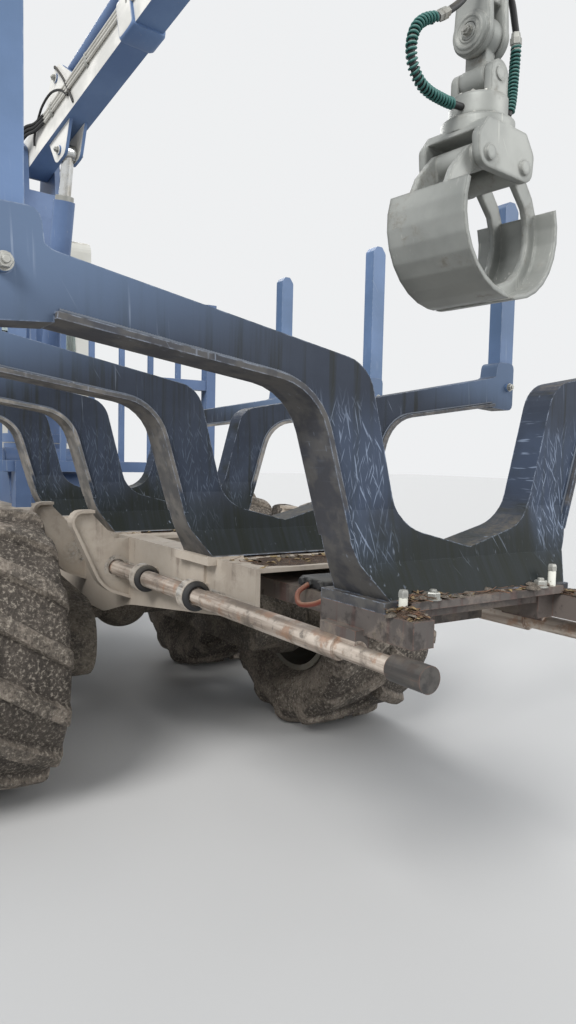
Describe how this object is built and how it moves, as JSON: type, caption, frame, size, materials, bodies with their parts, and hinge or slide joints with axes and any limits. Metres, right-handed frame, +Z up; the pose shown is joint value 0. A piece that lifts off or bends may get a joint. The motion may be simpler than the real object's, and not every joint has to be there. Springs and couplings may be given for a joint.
{
  "type": "forestry forwarder",
  "caption": "Eight-wheeled timber forwarder with a hinged frame, curved bunks with stakes, a sliding rear carriage and a folding loading crane with a grapple.",
  "frame": {"origin": "on the ground, at the middle of the box round the whole machine", "axes": "+X forward along the machine, +Y to its left, +Z up"},
  "size_m": [10.2, 2.86, 5.5003],
  "materials": {
    "frame_paint": "muddy paint",
    "axle_iron": "muddy",
    "bunk_paint": "scuffed",
    "stake_paint": "scuffed",
    "carriage_steel": "worn and rusty",
    "tyre": "muddy",
    "rim_paint": "dusty",
    "crane_paint": "worn",
    "rod_chrome": "polished",
    "grapple_steel": "worn",
    "body_paint": "satin",
    "cab_paint": "satin",
    "window": "clear",
    "engine_iron": "plain",
    "seat_fabric": "matte",
    "black_plastic": "matte",
    "step_steel": "worn",
    "lamp": "gloss"
  },
  "bodies": {
    "rear": {"rear_frame": "frame_paint", "rear_axle": "axle_iron", "rear_bogies": "axle_iron", "fixed_bunks": "bunk_paint", "fixed_stakes": "stake_paint", "headboard": "crane_paint", "crane_base": "crane_paint"},
    "carriage": {"bunk_carriage": "carriage_steel", "rear_bunk": "bunk_paint", "rear_stakes": "stake_paint"},
    "wheel_1_left": {"tyre_1_left": "tyre", "rim_1_left": "rim_paint"},
    "wheel_1_right": {"tyre_1_right": "tyre", "rim_1_right": "rim_paint"},
    "wheel_2_left": {"tyre_2_left": "tyre", "rim_2_left": "rim_paint"},
    "wheel_2_right": {"tyre_2_right": "tyre", "rim_2_right": "rim_paint"},
    "wheel_3_left": {"tyre_3_left": "tyre", "rim_3_left": "rim_paint"},
    "wheel_3_right": {"tyre_3_right": "tyre", "rim_3_right": "rim_paint"},
    "wheel_4_left": {"tyre_4_left": "tyre", "rim_4_left": "rim_paint"},
    "wheel_4_right": {"tyre_4_right": "tyre", "rim_4_right": "rim_paint"},
    "pillar": {"crane_pillar": "crane_paint"},
    "boom": {"main_boom": "crane_paint"},
    "lift_barrel": {"lift_barrel": "crane_paint"},
    "lift_rod": {"lift_rod": "rod_chrome"},
    "stick": {"stick": "crane_paint"},
    "stick_barrel": {"stick_barrel": "crane_paint"},
    "stick_rod": {"stick_rod": "rod_chrome"},
    "extension": {"extension": "grapple_steel"},
    "link": {"tip_link": "grapple_steel"},
    "swivel": {"rotator": "grapple_steel"},
    "grapple": {"grapple_head": "grapple_steel"},
    "jaw_one": {"jaw_one": "grapple_steel"},
    "jaw_two": {"jaw_two": "grapple_steel"},
    "door": {"cab_door": "cab_paint", "door_glass": "window"},
    "hood": {"hood": "body_paint", "exhaust": "step_steel"},
    "front": {"front_frame": "body_paint", "front_axle": "axle_iron", "front_bogies": "axle_iron", "engine": "engine_iron", "cab_shell": "cab_paint", "cab_glass": "window", "seat": "seat_fabric", "fenders": "black_plastic", "bumper": "body_paint", "steps": "step_steel", "fuel_tank": "body_paint", "work_lamps": "lamp"}
  },
  "joints": [
    {"name": "steer", "type": "hinge", "parent": "rear", "child": "front", "pos_m": [0.6, 0, 1], "axis": [0, 0, 1], "range_deg": [-40, 40]},
    {"name": "carriage_slide", "type": "slide", "parent": "rear", "child": "carriage", "axis": [1, 0, 0], "range_m": [-0.25, 0.4]},
    {"name": "wheel_1_left_turn", "type": "hinge", "parent": "rear", "child": "wheel_1_left", "pos_m": [-2.66, 1.07, 0.68], "axis": [0, 1, 0], "continuous": true},
    {"name": "wheel_1_right_turn", "type": "hinge", "parent": "rear", "child": "wheel_1_right", "pos_m": [-2.66, -1.07, 0.68], "axis": [0, 1, 0], "continuous": true},
    {"name": "wheel_2_left_turn", "type": "hinge", "parent": "rear", "child": "wheel_2_left", "pos_m": [-1.16, 1.07, 0.68], "axis": [0, 1, 0], "continuous": true},
    {"name": "wheel_2_right_turn", "type": "hinge", "parent": "rear", "child": "wheel_2_right", "pos_m": [-1.16, -1.07, 0.68], "axis": [0, 1, 0], "continuous": true},
    {"name": "wheel_3_left_turn", "type": "hinge", "parent": "front", "child": "wheel_3_left", "pos_m": [2.54, 1.07, 0.68], "axis": [0, 1, 0], "continuous": true},
    {"name": "wheel_3_right_turn", "type": "hinge", "parent": "front", "child": "wheel_3_right", "pos_m": [2.54, -1.07, 0.68], "axis": [0, 1, 0], "continuous": true},
    {"name": "wheel_4_left_turn", "type": "hinge", "parent": "front", "child": "wheel_4_left", "pos_m": [4.04, 1.07, 0.68], "axis": [0, 1, 0], "continuous": true},
    {"name": "wheel_4_right_turn", "type": "hinge", "parent": "front", "child": "wheel_4_right", "pos_m": [4.04, -1.07, 0.68], "axis": [0, 1, 0], "continuous": true},
    {"name": "slew", "type": "hinge", "parent": "rear", "child": "pillar", "pos_m": [0, 0, 1.7], "axis": [0, 0, 1], "range_deg": [-100, 265]},
    {"name": "lift", "type": "hinge", "parent": "pillar", "child": "boom", "pos_m": [0, 0, 3.953], "axis": [-0.1132, 0.9936, 0], "range_deg": [-13, 61.5]},
    {"name": "lift_barrel_swing", "type": "hinge", "parent": "pillar", "child": "lift_barrel", "pos_m": [-0.29807, -0.03396, 2.3], "axis": [-0.1132, 0.9936, 0], "range_deg": [-2.28, 8.93]},
    {"name": "lift_rod_slide", "type": "slide", "parent": "lift_barrel", "child": "lift_rod", "axis": [-0.2113, -0.0241, 0.9771], "range_m": [-0.14, 0.625]},
    {"name": "stick_swing", "type": "hinge", "parent": "boom", "child": "stick", "pos_m": [-4.32725, -0.49303, 4.9986], "axis": [-0.1132, 0.9936, 0], "range_deg": [-47, 72]},
    {"name": "stick_barrel_swing", "type": "hinge", "parent": "boom", "child": "stick_barrel", "pos_m": [-0.6261, -0.07133, 4.36962], "axis": [-0.1132, 0.9936, 0], "range_deg": [-0.93, 0.78]},
    {"name": "stick_rod_slide", "type": "slide", "parent": "stick_barrel", "child": "stick_rod", "axis": [-0.955, -0.1088, 0.2758], "range_m": [-0.51, 0.336]},
    {"name": "extend", "type": "slide", "parent": "stick", "child": "extension", "axis": [0, 0, -1], "range_m": [0, 1]},
    {"name": "link_plumb", "type": "hinge", "parent": "extension", "child": "link", "pos_m": [-4.32725, -0.49303, 3.2346], "axis": [-0.1132, 0.9936, 0], "range_deg": [-62, 13.5]},
    {"name": "cross_swing", "type": "hinge", "parent": "link", "child": "swivel", "pos_m": [-4.32725, -0.49303, 3.0746], "axis": [-0.9936, -0.1132, 0], "range_deg": [-40, 40]},
    {"name": "rotate", "type": "hinge", "parent": "swivel", "child": "grapple", "pos_m": [-4.32725, -0.49303, 2.8546], "axis": [0, 0, 1], "continuous": true},
    {"name": "jaw_open", "type": "hinge", "parent": "grapple", "child": "jaw_one", "pos_m": [-4.3148, -0.60232, 2.7446], "axis": [-0.9936, -0.1132, 0], "range_deg": [0, 50]},
    {"name": "jaw_open_other", "type": "hinge", "parent": "grapple", "child": "jaw_two", "pos_m": [-4.3397, -0.38373, 2.7446], "axis": [-0.9936, -0.1132, 0], "range_deg": [-50.5, 0.5]},
    {"name": "door_hinge", "type": "hinge", "parent": "front", "child": "door", "pos_m": [1.596, 0.87, 2.5], "axis": [0, 0, 1], "range_deg": [0, 80]},
    {"name": "hood_hinge", "type": "hinge", "parent": "front", "child": "hood", "pos_m": [4.93, 0, 1.41], "axis": [0, 1, 0], "range_deg": [0, 50]}
  ],
  "couplings": [
    {"joint": "lift_barrel_swing", "follows": "lift", "ratio": 0.137},
    {"joint": "lift_rod_slide", "follows": "lift", "m_per_rad": 0.573},
    {"joint": "stick_barrel_swing", "follows": "stick_swing", "ratio": -0.006},
    {"joint": "stick_rod_slide", "follows": "stick_swing", "m_per_rad": -0.398},
    {"joint": "link_plumb", "follows": "lift", "ratio": -1},
    {"joint": "jaw_open_other", "follows": "jaw_open", "ratio": -1}
  ]
}
